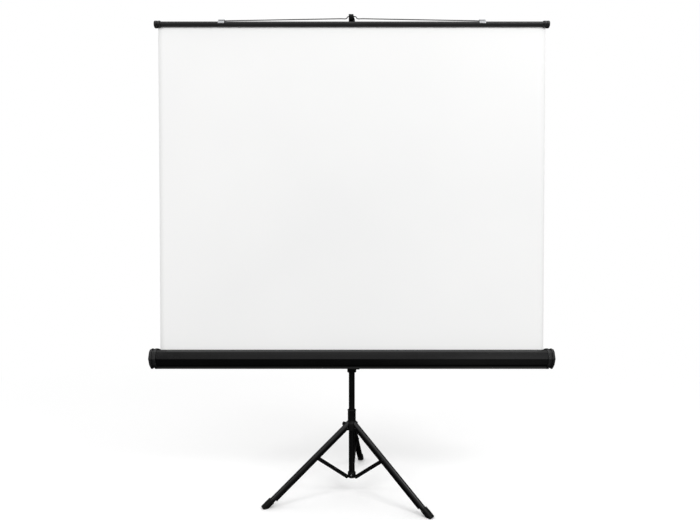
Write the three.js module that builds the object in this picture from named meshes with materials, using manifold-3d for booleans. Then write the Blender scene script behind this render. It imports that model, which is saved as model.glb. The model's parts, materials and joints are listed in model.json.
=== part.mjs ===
// Tripod projection screen, drawn up and hooked on its mast.
// Millimetres, +Z up. The screen faces -Y. The mast's axis is the local origin until the last lines,
// where the whole screen is moved so that the floor under its middle is the origin.
import * as THREE from "three";
import { mergeVertices } from "three/addons/utils/BufferGeometryUtils.js";
import Module from "manifold-3d";

const wasm = await Module();
wasm.setup();

// Fits
const SEAT_GAP = 0.3; // between pieces that touch
const PIN_GAP = 0.25; // around a pin in its hole
const ROUND_SIDES = 24; // sides of a visible tube
const SMALL_SIDES = 10; // sides of a pin or rivet, and of rounds that stay inside
const CORNER_STEPS = 4; // straight steps round a quarter turn
const OVER = 1; // reach of a cutting tool beyond the surface it cuts

// Column and mast
const COLUMN_R = 12;
const COLUMN_WALL = 1.2;
const COLUMN_FOOT_Z = 64;
const COLUMN_TOP_Z = 1290;
const MAST_WALL = 1.2;
const MAST_FOOT_Z = 690;
const MAST_DROP = 12; // mast's end below the hook's seat
const MAST_PLUG_LENGTH = 26;
const MAST_PLUG_LIP = 4;

// Tripod linkage: hub pin, leg pin and boss pin of one leg form an isosceles triangle
const LEG_AZIMUTHS = { right: 53, left: -67, back: 173 }; // degrees from the front towards +X
const PIVOT_R = 23;
const HUB_PIVOT_Z = 262;
const BOSS_PIVOT_Z = 68;
const LINK_REACH = 130; // leg pin outwards of the hub pin
const LEG_SLOPE = THREE.MathUtils.degToRad(39);
const PIN_R = 2.5;
const PIN_HEAD_R = 4.4;
const PIN_HEAD = 1.6;
const PIN_CROWN = 0.7; // flat top of a rivet's head, as a share of its width

// Leg channel, brace channel and foot
const LEG_HALF_WIDTH = 11;
const LEG_WALL = 1.4;
const LEG_SKIRT = 11; // wall depth inwards of the channel's axis
const FOOT_LENGTH = 38;
const FOOT_HALF_WIDTH = 12.6;
const FOOT_HALF_DEPTH = 11.6;
const FOOT_SHIFT = 1.6; // the foot sits outwards of the channel's axis
const FOOT_CORNER = 8;
const FOOT_NOSE = 11; // rubber beyond the channel's end
const FOOT_EDGE = 2.5;
const LEG_TRIM = 10; // the channel's walls are cut back above the foot
const BRACE_HALF_WIDTH = 4.5;
const BRACE_HALF_DEPTH = 7;
const BRACE_WALL = 1.2;
const BRACE_EYE = 9; // length of the open fork at each end

// Hub and boss mouldings
const COLLAR_R = 16;
const COLLAR_CHAMFER = 2;
const HUB_FOOT_Z = 254;
const HUB_TOP_Z = 335;
const HUB_LUG_R = 7.5;
const HUB_SKIRT_R = 24; // skirt between the legs
const HUB_SKIRT_HEIGHT = 29;
const HUB_SKIRT_EDGE = 1.5;
const HUB_KNOB_Z = 269;
const HUB_KNOB_AZIMUTH = -127;
const HUB_SPOUT = 9; // threaded spout for the knob's screw, beyond the collar
const HUB_SPOUT_R = 7;
const HUB_BEAD = 1.2;
const HUB_BEAD_HEIGHT = 5;
const BOSS_FLOOR = 3;
const BOSS_TOP_Z = 83;
const BOSS_LUG_R = 5.4;

// Clamp knobs
const SCREW_R = 3;
const KNOB_R = 9;
const KNOB_LENGTH = 13;
const KNOB_LOBES = 6;
const KNOB_LOBE_STEPS = 4; // straight steps round a lobe
const KNOB_LOBE_DEPTH = 1.3;
const KNOB_EDGE = 2;
const KNOB_NECK = 5;
const KNOB_NECK_R = 5.4;

// Case: many-sided, with a ridge in front, a flat back, a slotted top and a narrow keel
const CASE_Y = -48;
const CASE_Z = 552.5;
const CASE_RIDGE = 36;
const CASE_SHOULDER = 25.5;
const CASE_CHIN = 24; // height of the lower corners below the middle
const CASE_CROWN_FRONT = 15;
const CASE_CROWN_BACK = 2;
const CASE_CROWN = 32.3;
const CASE_KEEL_HALF = 6.5;
const CASE_KEEL = 42;
const CASE_LIP = 8; // height of the flared lip along the keel's front edge
const CASE_LIP_FLARE = 3.2;
const CASE_LIP_EDGE = 0.8;
const CASE_WALL = 1.2;
const CASE_MARGIN = 21; // shell beyond the fabric's edge
const CAP_PROUD = 2.5;
const CAP_NECK_SUNK = 2; // groove between sleeve and dome, below the shell's outline
const CAP_SLEEVE = 11;
const CAP_SLEEVE_EDGE = 1.5;
const CAP_NECK = 5;
const CAP_DOME = 12;
const CAP_DOME_EDGE = 5;
const CAP_LAP = 9; // how far the sleeve reaches over the shell
const SLOT_HALF = 4;

// Carriage
const CARRIAGE_R = 18;
const CARRIAGE_BELOW = 68.5; // sleeve below the case's middle
const CARRIAGE_ABOVE = 59.5;
const CARRIAGE_CHAMFER = 0.8;
const PAD_HALF_WIDTH = 24;
const PAD_HALF_HEIGHT = 33;
const BRACKET_THICK = 2.4;
const BRACKET_HALF_WIDTH = 46;
const BRACKET_HALF_HEIGHT = 21;
const BRACKET_CORNER = 6;
const CASE_PIN_R = 6;
const CASE_PIN_LEFT = 1.2; // carriage wall left between the pin and the column's bore
const TAB_WIDTH = 30;
const TAB_THICK = 3;
const TAB_FRONT = 14; // reach of the stop tab in front of the case's middle

// Roller and its spring
const ROLLER_R = 15;
const ROLLER_WALL = 1;
const ROLLER_SHY = 13; // roller end inwards of the shell's end
const PLUG_LENGTH = 14;
const PLUG_LIP = 2;
const JOURNAL_R = 5;
const JOURNAL_DEPTH = 7; // how deep a journal sits in its end cap
const ARBOR_R = 4;
const ARBOR_LENGTH = 430;
const SPRING_R = 8.5;
const SPRING_WIRE_R = 0.9;
const SPRING_TURNS = 14;
const SPRING_STEPS = 8; // straight steps in a turn of the spring
const SPRING_SIDES = 5;

// Screen and top bar
const FABRIC_WIDTH = 1490;
const FABRIC_THICK = 0.5;
const FABRIC_AHEAD = 10; // fabric in front of the case's middle
const WOUND_TURNS = 3;
const WOUND_PITCH = 0.85;
const WOUND_STEPS = 26; // straight steps in a turn of wound fabric
const BAR_R = 11;
const BAR_WALL = 1;
const BAR_Z = 1839;
const BAR_SLOT_HALF = 1.2;
const BAR_CAP_R = 14;
const BAR_CAP_LENGTH = 24;
const BAR_CAP_WALL = 3;
const BAR_CAP_OVERHANG = 14; // cap end beyond the fabric's edge
const BAR_CAP_GROOVE = 1.8;
const BAR_CAP_EDGE = 3;
const BAR_CAP_CHAMFER = 1.5;
const HEM_DEPTH = 6; // fabric inside the bar

// Bail
const WIRE_R = 2;
const CLIP_X = 501;
const CLIP_LENGTH = 24;
const CLIP_WALL = 3;
const CLIP_EDGE = 1;
const CLIP_PLATE = 1.2;
const CLIP_WRAP = 0.5; // lower edges of its saddle above the bar's axis
const WIRE_SIDES = 8;
const WIRE_CLEAR = 1; // wire above the bar at the clips
const WIRE_HUMP = 7.3; // crest over the hook above the wire's shoulders
const WIRE_SHOULDER_X = 21;
const WIRE_STEPS = 3; // straight steps between two bends of the wire

// Hook
const HOOK_HALF_WIDTH = 12;
const HOOK_LIP_RIGHT = 5.5; // the lip's right end; its left end is flush with the arm
const HOOK_LOBE_R = 8;
const HOOK_LOBE_DROP = 13; // middle of the lobe below the seat
const HOOK_LOBE_FROM = -60; // the lobe's arc, in degrees from +X
const HOOK_LOBE_TO = 50;
const HOOK_SOCKET_R = 13;
const HOOK_SOCKET_LENGTH = 42;
const HOOK_SOCKET_EDGE = 2;
const HOOK_CROWN = 6; // plastic above the mast's end
const HOOK_SEAT_RISE = 30; // seat above the bar's axis
const HOOK_SEAT_HALF = 3.6; // seat behind and before the wire's middle
const HOOK_REACH = 6; // wire behind the fabric's plane
const HOOK_LIP = 9; // lip above the seat
const HOOK_LIP_THICK = 6.5;
const HOOK_HEEL = 4; // rise behind the seat
const HOOK_HEEL_LENGTH = 18;
const HOOK_ARM_DEPTH = 14;
const HOOK_ARM_ROOT = 20; // depth of the arm at the mast
const HOOK_EDGE = 1.5;

// Clamp collar on top of the column
const LOCK_R = 17;
const LOCK_SKIRT = 28;
const LOCK_HEAD = 22;

const blackPaint = () => new THREE.MeshStandardMaterial({ color: 0x17171a, roughness: 0.42, metalness: 0.25 });
const blackPlastic = () => new THREE.MeshStandardMaterial({ color: 0x121214, roughness: 0.6, metalness: 0 });
const rubber = () => new THREE.MeshStandardMaterial({ color: 0x0c0c0d, roughness: 0.9, metalness: 0 });
const zinc = () => new THREE.MeshStandardMaterial({ color: 0xb9bcc0, roughness: 0.35, metalness: 0.9 });
const darkSteel = () => new THREE.MeshStandardMaterial({ color: 0x55585c, roughness: 0.4, metalness: 0.9 });
const whiteCloth = () => new THREE.MeshStandardMaterial({ color: 0xf5f5f3, roughness: 0.95, metalness: 0 });

// A three.js geometry as a solid for adding and cutting
function solid(geometry) {
  const plain = geometry.clone();
  plain.deleteAttribute("normal");
  plain.deleteAttribute("uv");
  const welded = mergeVertices(plain, 1e-5);
  const vertProperties = new Float32Array(welded.attributes.position.array);
  const triVerts = new Uint32Array(welded.index.array);
  return new wasm.Manifold(new wasm.Mesh({ numProp: 3, vertProperties, triVerts }));
}

// A solid back as three.js geometry
function geometryOf(body) {
  const mesh = body.getMesh();
  const geometry = new THREE.BufferGeometry();
  geometry.setAttribute("position", new THREE.BufferAttribute(new Float32Array(mesh.vertProperties), 3));
  geometry.setIndex(new THREE.BufferAttribute(new Uint32Array(mesh.triVerts), 1));
  return geometry;
}

const join = (bodies) => bodies.reduce((sum, body) => sum.add(body));
const cut = (body, tools) => tools.reduce((rest, tool) => rest.subtract(tool), body);

function piece(name, body, material) {
  const mesh = new THREE.Mesh(geometryOf(body), material);
  mesh.name = name;
  return mesh;
}

// Block between two corners
function block(low, high) {
  const size = high.map((value, axis) => value - low[axis]);
  const geometry = new THREE.BoxGeometry(...size);
  geometry.translate(...low.map((value, axis) => value + size[axis] / 2));
  return solid(geometry);
}

// Turned piece about Z from a closed outline of [radius, height] pairs
function turned(outline, sides = ROUND_SIDES) {
  const points = [...outline, outline[0]].map(([radius, height]) => new THREE.Vector2(radius, height));
  const geometry = new THREE.LatheGeometry(points, sides);
  geometry.rotateX(Math.PI / 2);
  return solid(geometry);
}

// Tube about Z
function tube(outer, inner, low, high, sides = ROUND_SIDES) {
  return turned([[inner, low], [outer, low], [outer, high], [inner, high]], sides);
}

// Round rod about Z
function rod(radius, low, high, sides = ROUND_SIDES) {
  const geometry = new THREE.CylinderGeometry(radius, radius, high - low, sides);
  geometry.rotateX(Math.PI / 2);
  geometry.translate(0, 0, (low + high) / 2);
  return solid(geometry);
}

const alongX = (body) => body.rotate([0, 90, 0]);
const alongY = (body) => body.rotate([-90, 0, 0]);

// Outline in the YZ plane drawn out along X
function drawnX(outline, low, high) {
  const shape = new THREE.Shape(outline.map(([y, z]) => new THREE.Vector2(y, z)));
  const geometry = new THREE.ExtrudeGeometry(shape, { depth: high - low, bevelEnabled: false });
  geometry.rotateY(Math.PI / 2);
  geometry.rotateX(Math.PI / 2);
  geometry.translate(low, 0, 0);
  return solid(geometry);
}

// The same with its edges rounded at both ends
function pillowX(outline, low, high, edge) {
  const shape = new THREE.Shape(outline.map(([y, z]) => new THREE.Vector2(y, z)));
  const geometry = new THREE.ExtrudeGeometry(shape, {
    depth: high - low - 2 * edge,
    bevelThickness: edge,
    bevelSize: edge,
    bevelOffset: -edge,
    bevelSegments: 2,
  });
  geometry.rotateY(Math.PI / 2);
  geometry.rotateX(Math.PI / 2);
  geometry.translate(low + edge, 0, 0);
  return solid(geometry);
}

// Outline in the XZ plane drawn out along Y, evenly to both sides
function drawnY(outline, half) {
  const shape = new THREE.Shape(outline.map(([x, z]) => new THREE.Vector2(x, z)));
  const geometry = new THREE.ExtrudeGeometry(shape, { depth: 2 * half, bevelEnabled: false });
  geometry.rotateX(Math.PI / 2);
  geometry.translate(0, half, 0);
  return solid(geometry);
}

// Points on an arc, angles in degrees from the first axis
function arc(cx, cz, radius, from, to, steps) {
  return Array.from({ length: steps + 1 }, (_, i) => {
    const angle = THREE.MathUtils.degToRad(from + ((to - from) * i) / steps);
    return [cx + radius * Math.cos(angle), cz + radius * Math.sin(angle)];
  });
}

// Round section of a wire
function wireSection(radius, sides) {
  const whole = 360;
  const points = arc(0, 0, radius, 0, whole - whole / sides, sides - 1);
  return new THREE.Shape(points.map(([x, y]) => new THREE.Vector2(x, y)));
}

// A convex outline with every side moved outwards
function outset(outline, distance) {
  const sides = outline.map(([y, z], i) => {
    const [y2, z2] = outline[(i + 1) % outline.length];
    const length = Math.hypot(y2 - y, z2 - z);
    const normal = [(z2 - z) / length, -(y2 - y) / length];
    return { normal, reach: normal[0] * y + normal[1] * z + distance };
  });
  return sides.map((side, i) => {
    const before = sides[(i + sides.length - 1) % sides.length];
    const cross = before.normal[0] * side.normal[1] - before.normal[1] * side.normal[0];
    return [
      (before.reach * side.normal[1] - side.reach * before.normal[1]) / cross,
      (side.reach * before.normal[0] - before.reach * side.normal[0]) / cross,
    ];
  });
}

// Rivet along Y through a stack of the given half width
function rivet(halfStack, radius, headRadius, head) {
  const under = halfStack + SEAT_GAP;
  const top = under + head;
  const crown = headRadius * PIN_CROWN;
  const outline = [
    [0, -top], [crown, -top], [headRadius, -top + head / 2], [headRadius, -under], [radius, -under],
    [radius, under], [headRadius, under], [headRadius, top - head / 2], [crown, top], [0, top],
  ];
  return alongY(turned(outline, SMALL_SIDES));
}

// Clamp knob along +X: screw, neck and a lobed grip
function knob(screwTip, seat) {
  const outline = Array.from({ length: KNOB_LOBES * KNOB_LOBE_STEPS }, (_, i) => {
    const angle = (i / (KNOB_LOBES * KNOB_LOBE_STEPS)) * 2 * Math.PI;
    const radius = KNOB_R - KNOB_LOBE_DEPTH * (0.5 + 0.5 * Math.cos(KNOB_LOBES * angle));
    return [radius * Math.cos(angle), radius * Math.sin(angle)];
  });
  const grip = seat + KNOB_NECK;
  return join([
    alongX(rod(SCREW_R, screwTip, grip + KNOB_EDGE, SMALL_SIDES)),
    alongX(rod(KNOB_NECK_R, seat, grip + KNOB_EDGE, SMALL_SIDES)),
    pillowX(outline, grip, grip + KNOB_LENGTH, KNOB_EDGE),
  ]);
}

const columnBore = COLUMN_R + SEAT_GAP;
const boreTool = rod(columnBore, COLUMN_FOOT_Z - SEAT_GAP, COLUMN_TOP_Z);

// Linkage lengths
const linkRise = (HUB_PIVOT_Z - BOSS_PIVOT_Z) / 2;
const linkLength = Math.hypot(LINK_REACH, linkRise);
const linkSlope = Math.atan2(linkRise, LINK_REACH);
const legAxis = linkLength * Math.sin(LEG_SLOPE - linkSlope); // channel axis outwards of the hub pin
const legPin = linkLength * Math.cos(LEG_SLOPE - linkSlope);
const legFloor = (HUB_PIVOT_Z + legAxis * Math.cos(LEG_SLOPE)) / Math.sin(LEG_SLOPE);
const legEnd = legFloor - FOOT_NOSE;
const footTop = legFloor - FOOT_LENGTH;
const clear = 4 * LEG_HALF_WIDTH; // reach of a cutting tool across a leg
const pinHole = alongY(rod(PIN_R + PIN_GAP, -clear, clear, SMALL_SIDES));

// Channel outline in the leg's own YZ plane: an arch with straight walls, open inwards
function archOutline(outer, inner, skirtZ) {
  return [
    ...arc(0, legAxis, outer, 0, 180, 3 * CORNER_STEPS),
    [-outer, skirtZ],
    [-inner, skirtZ],
    ...arc(0, legAxis, inner, 180, 0, 3 * CORNER_STEPS),
    [inner, skirtZ],
    [outer, skirtZ],
  ];
}

// A leg in its own frame: hub pin at the origin, +X towards the foot, +Z outwards
function legBody() {
  const inner = LEG_HALF_WIDTH - LEG_WALL;
  const skirtZ = legAxis - LEG_SKIRT;
  const upper = -3 * LEG_HALF_WIDTH;
  const channel = drawnX(archOutline(LEG_HALF_WIDTH, inner, skirtZ), upper, legEnd);
  // the upper end is cut upright, close to the collar
  const endR = COLLAR_R + HUB_BEAD + SEAT_GAP;
  const behind = block([-2 * clear, -clear, -2 * clear], [endR - PIVOT_R, clear, 2 * clear]);
  const upright = behind.rotate([0, -THREE.MathUtils.radToDeg(LEG_SLOPE), 0]);
  // the walls are cut back where the rubber foot goes on
  const trimTop = legAxis - LEG_SKIRT / 2;
  const trim = block([footTop - LEG_TRIM, -clear, skirtZ - OVER], [legEnd + OVER, clear, trimTop]);
  return cut(channel, [upright, trim, pinHole, pinHole.translate([legPin, 0, legAxis])]);
}

// A rubber foot in its leg's frame, with a pocket for the channel and a flat sole on the floor
function footBody() {
  const middle = legAxis + FOOT_SHIFT;
  const wide = FOOT_HALF_WIDTH - FOOT_CORNER;
  const deep = FOOT_HALF_DEPTH - FOOT_CORNER;
  const outline = [
    ...arc(wide, middle + deep, FOOT_CORNER, 0, 90, CORNER_STEPS),
    ...arc(-wide, middle + deep, FOOT_CORNER, 90, 180, CORNER_STEPS),
    ...arc(-wide, middle - deep, FOOT_CORNER, 180, 270, CORNER_STEPS),
    ...arc(wide, middle - deep, FOOT_CORNER, 270, 360, CORNER_STEPS),
  ];
  const rubberBlock = pillowX(outline, footTop, legFloor + FOOT_NOSE / 2, FOOT_EDGE);
  const skirtZ = legAxis - LEG_SKIRT / 2 - SEAT_GAP;
  const inner = LEG_HALF_WIDTH - LEG_WALL - SEAT_GAP;
  const pocketOutline = archOutline(LEG_HALF_WIDTH + SEAT_GAP, inner, skirtZ);
  const pocket = drawnX(pocketOutline, footTop - OVER, legEnd + SEAT_GAP);
  const below = block([0, -clear, -HUB_PIVOT_Z - clear], [2 * legFloor, clear, -HUB_PIVOT_Z]);
  const floorTool = below.rotate([0, -THREE.MathUtils.radToDeg(LEG_SLOPE), 0]);
  return cut(rubberBlock, [pocket, floorTool]);
}

// A brace in its own frame: boss pin at the origin, +X towards the leg pin, web on +Z
function braceBody() {
  const outline = [
    ...arc(linkLength, 0, BRACE_HALF_DEPTH, -90, 90, 2 * CORNER_STEPS),
    ...arc(0, 0, BRACE_HALF_DEPTH, 90, 270, 2 * CORNER_STEPS),
  ];
  const bar = drawnY(outline, BRACE_HALF_WIDTH);
  const inner = BRACE_HALF_WIDTH - BRACE_WALL;
  const far = linkLength + 2 * BRACE_HALF_DEPTH;
  const low = -2 * BRACE_HALF_DEPTH;
  const groove = block([low, -inner, low], [far, inner, BRACE_HALF_DEPTH - BRACE_WALL]);
  const fork = block([low, -inner, low], [BRACE_EYE, inner, -low]);
  const farFork = block([linkLength - BRACE_EYE, -inner, low], [far, inner, -low]);
  return cut(bar, [groove, fork, farFork, pinHole, pinHole.translate([linkLength, 0, 0])]);
}

// A lug that stands out of a collar towards +X and carries a pin along Y
function lug(height, halfWidth, radius) {
  const outline = [
    [0, height - radius],
    ...arc(PIVOT_R, height, radius, -90, 90, 2 * CORNER_STEPS),
    [0, height + radius],
  ];
  return drawnY(outline, halfWidth).subtract(pinHole.translate([PIVOT_R, 0, height]));
}

const turnFor = (azimuth) => azimuth - 90; // about Z, from +X to the azimuth
const azimuths = Object.values(LEG_AZIMUTHS);
const screen = new THREE.Group();
screen.name = "tripod_projection_screen";

// Column with the boss on its foot
const stand = new THREE.Group();
screen.add(stand);
const columnTube = tube(COLUMN_R, COLUMN_R - COLUMN_WALL, COLUMN_FOOT_Z, COLUMN_TOP_Z);
stand.add(piece("column_tube", columnTube, blackPaint()));
const bossFoot = COLUMN_FOOT_Z - SEAT_GAP - BOSS_FLOOR;
const bossLug = lug(BOSS_PIVOT_Z, BRACE_HALF_WIDTH - BRACE_WALL - SEAT_GAP, BOSS_LUG_R);
const bossCollar = turned([
  [0, bossFoot], [COLLAR_R - COLLAR_CHAMFER, bossFoot], [COLLAR_R, bossFoot + COLLAR_CHAMFER],
  [COLLAR_R, BOSS_TOP_Z - COLLAR_CHAMFER], [COLLAR_R - COLLAR_CHAMFER, BOSS_TOP_Z], [0, BOSS_TOP_Z],
]);
const boss = join([bossCollar, ...azimuths.map((azimuth) => bossLug.rotate([0, 0, turnFor(azimuth)]))]);
stand.add(piece("column_boss", boss.subtract(boreTool), blackPlastic()));

// Hub collar that slides on the column
const hubLug = lug(HUB_PIVOT_Z, LEG_HALF_WIDTH - LEG_WALL - SEAT_GAP, HUB_LUG_R);
const hubCollar = turned([
  [0, HUB_FOOT_Z], [COLLAR_R, HUB_FOOT_Z], [COLLAR_R, HUB_TOP_Z - HUB_BEAD_HEIGHT - HUB_BEAD],
  [COLLAR_R + HUB_BEAD, HUB_TOP_Z - HUB_BEAD_HEIGHT], [COLLAR_R + HUB_BEAD, HUB_TOP_Z - COLLAR_CHAMFER],
  [COLLAR_R - COLLAR_CHAMFER, HUB_TOP_Z], [0, HUB_TOP_Z],
]);
// the skirt stands between the legs: each leg, with its pin's heads, swings in a gap of its own
const skirtTop = HUB_FOOT_Z + HUB_SKIRT_HEIGHT;
const hubSkirt = turned([
  [0, HUB_FOOT_Z], [HUB_SKIRT_R - HUB_SKIRT_EDGE, HUB_FOOT_Z], [HUB_SKIRT_R, HUB_FOOT_Z + HUB_SKIRT_EDGE],
  [HUB_SKIRT_R, skirtTop - HUB_SKIRT_EDGE], [HUB_SKIRT_R - HUB_SKIRT_EDGE, skirtTop],
  [0, skirtTop + HUB_SKIRT_R - HUB_SKIRT_EDGE],
]);
const legRoom = LEG_HALF_WIDTH + SEAT_GAP + PIN_HEAD + PIN_HEAD / 2;
const legGap = block([COLLAR_R, -legRoom, HUB_FOOT_Z - OVER], [2 * HUB_SKIRT_R, legRoom, HUB_TOP_Z]);
const hubSectors = cut(hubSkirt, azimuths.map((azimuth) => legGap.rotate([0, 0, turnFor(azimuth)])));
const spoutEnd = COLLAR_R + HUB_SPOUT;
const spout = alongX(rod(HUB_SPOUT_R, 0, spoutEnd, SMALL_SIDES)).translate([0, 0, HUB_KNOB_Z]);
const hubSpout = spout.rotate([0, 0, turnFor(HUB_KNOB_AZIMUTH)]);
const screwHole = alongX(rod(SCREW_R + PIN_GAP, 0, 3 * COLLAR_R, SMALL_SIDES));
const hubScrewHole = screwHole.translate([0, 0, HUB_KNOB_Z]).rotate([0, 0, turnFor(HUB_KNOB_AZIMUTH)]);
const hubLugs = azimuths.map((azimuth) => hubLug.rotate([0, 0, turnFor(azimuth)]));
const hub = join([hubCollar, hubSectors, hubSpout, ...hubLugs]);
stand.add(piece("hub_collar", cut(hub, [boreTool, hubScrewHole]), blackPlastic()));
const hubKnob = piece("hub_knob", knob(columnBore + SEAT_GAP, spoutEnd + SEAT_GAP), blackPlastic());
hubKnob.position.z = HUB_KNOB_Z;
hubKnob.rotation.z = THREE.MathUtils.degToRad(turnFor(HUB_KNOB_AZIMUTH));
stand.add(hubKnob);

// Three legs with their feet, braces and pins
const legShape = legBody();
const footShape = footBody();
const braceShape = braceBody();
const legRivet = rivet(LEG_HALF_WIDTH, PIN_R, PIN_HEAD_R, PIN_HEAD);
const bossRivet = rivet(BRACE_HALF_WIDTH, PIN_R, PIN_HEAD_R, PIN_HEAD);
for (const [side, azimuth] of Object.entries(LEG_AZIMUTHS)) {
  const fold = new THREE.Group();
  fold.rotation.z = THREE.MathUtils.degToRad(turnFor(azimuth));
  stand.add(fold);
  const leg = new THREE.Group();
  leg.position.set(PIVOT_R, 0, HUB_PIVOT_Z);
  leg.rotation.y = LEG_SLOPE;
  fold.add(leg);
  leg.add(piece(`leg_${side}`, legShape, blackPaint()));
  leg.add(piece(`foot_${side}`, footShape, rubber()));
  leg.add(piece(`hub_pin_${side}`, legRivet, blackPaint()));
  const pin = piece(`leg_pin_${side}`, legRivet, blackPaint());
  pin.position.set(legPin, 0, legAxis);
  leg.add(pin);
  const brace = new THREE.Group();
  brace.position.set(PIVOT_R, 0, BOSS_PIVOT_Z);
  brace.rotation.y = -linkSlope;
  fold.add(brace);
  brace.add(piece(`brace_${side}`, braceShape, blackPaint()));
  brace.add(piece(`boss_pin_${side}`, bossRivet, blackPaint()));
}

// Clamp collar on the column's top
const mastR = COLUMN_R - COLUMN_WALL - SEAT_GAP;
const mastBore = mastR + SEAT_GAP;
const lockFoot = COLUMN_TOP_Z - LOCK_SKIRT;
const lockTop = COLUMN_TOP_Z + LOCK_HEAD;
const lockCollar = turned([
  [mastBore, COLUMN_TOP_Z + SEAT_GAP], [columnBore, COLUMN_TOP_Z + SEAT_GAP], [columnBore, lockFoot],
  [LOCK_R - COLLAR_CHAMFER, lockFoot], [LOCK_R, lockFoot + COLLAR_CHAMFER], [LOCK_R, lockTop - COLLAR_CHAMFER],
  [LOCK_R - COLLAR_CHAMFER, lockTop], [mastBore, lockTop],
]);
const lockScrewZ = COLUMN_TOP_Z + LOCK_HEAD / 2;
const lockScrewHole = screwHole.translate([0, 0, lockScrewZ]).rotate([0, 0, 90]);
stand.add(piece("mast_clamp", cut(lockCollar, [lockScrewHole]), blackPlastic()));
const mastKnob = piece("mast_knob", knob(mastBore + SEAT_GAP, LOCK_R + SEAT_GAP), blackPlastic());
mastKnob.position.z = lockScrewZ;
mastKnob.rotation.z = Math.PI / 2;
stand.add(mastKnob);

// Mast inside the column, with its plug and hook
const hookSeat = BAR_Z + HOOK_SEAT_RISE;
const mastTop = hookSeat - MAST_DROP;
const mast = new THREE.Group();
screen.add(mast);
mast.add(piece("mast_tube", tube(mastR, mastR - MAST_WALL, MAST_FOOT_Z, mastTop), blackPaint()));
const plugR = mastR - MAST_WALL - SEAT_GAP;
const plugFoot = MAST_FOOT_Z - SEAT_GAP;
mast.add(piece("mast_plug", turned([
  [0, plugFoot - MAST_PLUG_LIP], [mastR, plugFoot - MAST_PLUG_LIP], [mastR, plugFoot],
  [plugR, plugFoot], [plugR, plugFoot + MAST_PLUG_LENGTH], [0, plugFoot + MAST_PLUG_LENGTH],
], SMALL_SIDES), blackPlastic()));

const fabricY = CASE_Y - FABRIC_AHEAD;
const wireSeatY = fabricY + HOOK_REACH;
const seatFront = wireSeatY - HOOK_SEAT_HALF;
const seatBack = wireSeatY + HOOK_SEAT_HALF;
const hookFront = seatFront - HOOK_LIP_THICK;
const hookTop = hookSeat + HOOK_LIP;
const hookFoot = hookSeat - HOOK_ARM_DEPTH;
const socketTop = mastTop + SEAT_GAP + HOOK_CROWN;
const hookSide = drawnX([
  [0, socketTop - HOOK_ARM_ROOT],
  [0, socketTop],
  [seatBack + HOOK_HEEL_LENGTH, hookSeat],
  [seatBack + HOOK_HEEL, hookSeat + HOOK_HEEL],
  [seatBack, hookSeat + HOOK_HEEL - HOOK_EDGE],
  [seatBack - HOOK_EDGE, hookSeat],
  [seatFront + HOOK_EDGE, hookSeat],
  [seatFront, hookSeat + HOOK_EDGE],
  [seatFront, hookTop - HOOK_EDGE],
  [seatFront - HOOK_EDGE, hookTop],
  [hookFront + HOOK_EDGE, hookTop],
  [hookFront, hookTop - 2 * HOOK_EDGE],
  [hookFront - HOOK_EDGE, hookSeat - 2 * HOOK_EDGE],
  [hookFront + HOOK_EDGE, hookFoot + 2 * HOOK_EDGE],
  [hookFront + HOOK_LIP, hookFoot],
], -HOOK_HALF_WIDTH, HOOK_HALF_WIDTH);
// seen from the front, the lip slants down into a round lobe on its right
const lobeX = HOOK_HALF_WIDTH - HOOK_LOBE_R;
const lobeZ = hookSeat - HOOK_LOBE_DROP;
const hookFace = drawnY([
  [-HOOK_HALF_WIDTH, hookFoot - HOOK_ARM_ROOT],
  ...arc(lobeX, lobeZ, HOOK_LOBE_R, HOOK_LOBE_FROM, HOOK_LOBE_TO, 2 * CORNER_STEPS),
  [HOOK_LIP_RIGHT, hookTop + OVER],
  [-HOOK_HALF_WIDTH, hookTop + OVER],
], -2 * CASE_Y);
const hookArm = hookSide.intersect(hookFace);
const socketFoot = mastTop - HOOK_SOCKET_LENGTH;
const hookSocket = turned([
  [0, socketFoot], [HOOK_SOCKET_R - HOOK_SOCKET_EDGE / 2, socketFoot],
  [HOOK_SOCKET_R, socketFoot + HOOK_SOCKET_EDGE / 2], [HOOK_SOCKET_R, socketTop - HOOK_SOCKET_EDGE],
  [HOOK_SOCKET_R - HOOK_SOCKET_EDGE, socketTop], [0, socketTop],
]);
const mastSeat = rod(mastR + SEAT_GAP, socketFoot - OVER, mastTop + SEAT_GAP);
mast.add(piece("mast_hook", join([hookSocket, hookArm]).subtract(mastSeat), blackPlastic()));

// Case outline about its middle, front at -Y
const caseOutline = [
  [-CASE_RIDGE, 0],
  [-CASE_SHOULDER, -CASE_CHIN],
  [-CASE_KEEL_HALF, -CASE_KEEL],
  [CASE_KEEL_HALF, -CASE_KEEL],
  [CASE_SHOULDER, -CASE_CHIN],
  [CASE_SHOULDER, CASE_SHOULDER],
  [CASE_CROWN_BACK, CASE_CROWN],
  [-CASE_CROWN_FRONT, CASE_CROWN],
  [-CASE_SHOULDER, CASE_SHOULDER],
];
const caseHalf = FABRIC_WIDTH / 2 + CASE_MARGIN;
const caseGroup = new THREE.Group();
caseGroup.position.set(0, CASE_Y, CASE_Z);
screen.add(caseGroup);
const hollow = drawnX(outset(caseOutline, -CASE_WALL), -caseHalf - OVER, caseHalf + OVER);
const slot = block(
  [-caseHalf - OVER, -FABRIC_AHEAD - SLOT_HALF, CASE_SHOULDER / 2],
  [caseHalf + OVER, -FABRIC_AHEAD + SLOT_HALF, CASE_CROWN + OVER],
);
const capInner = caseHalf - CAP_LAP;
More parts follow.
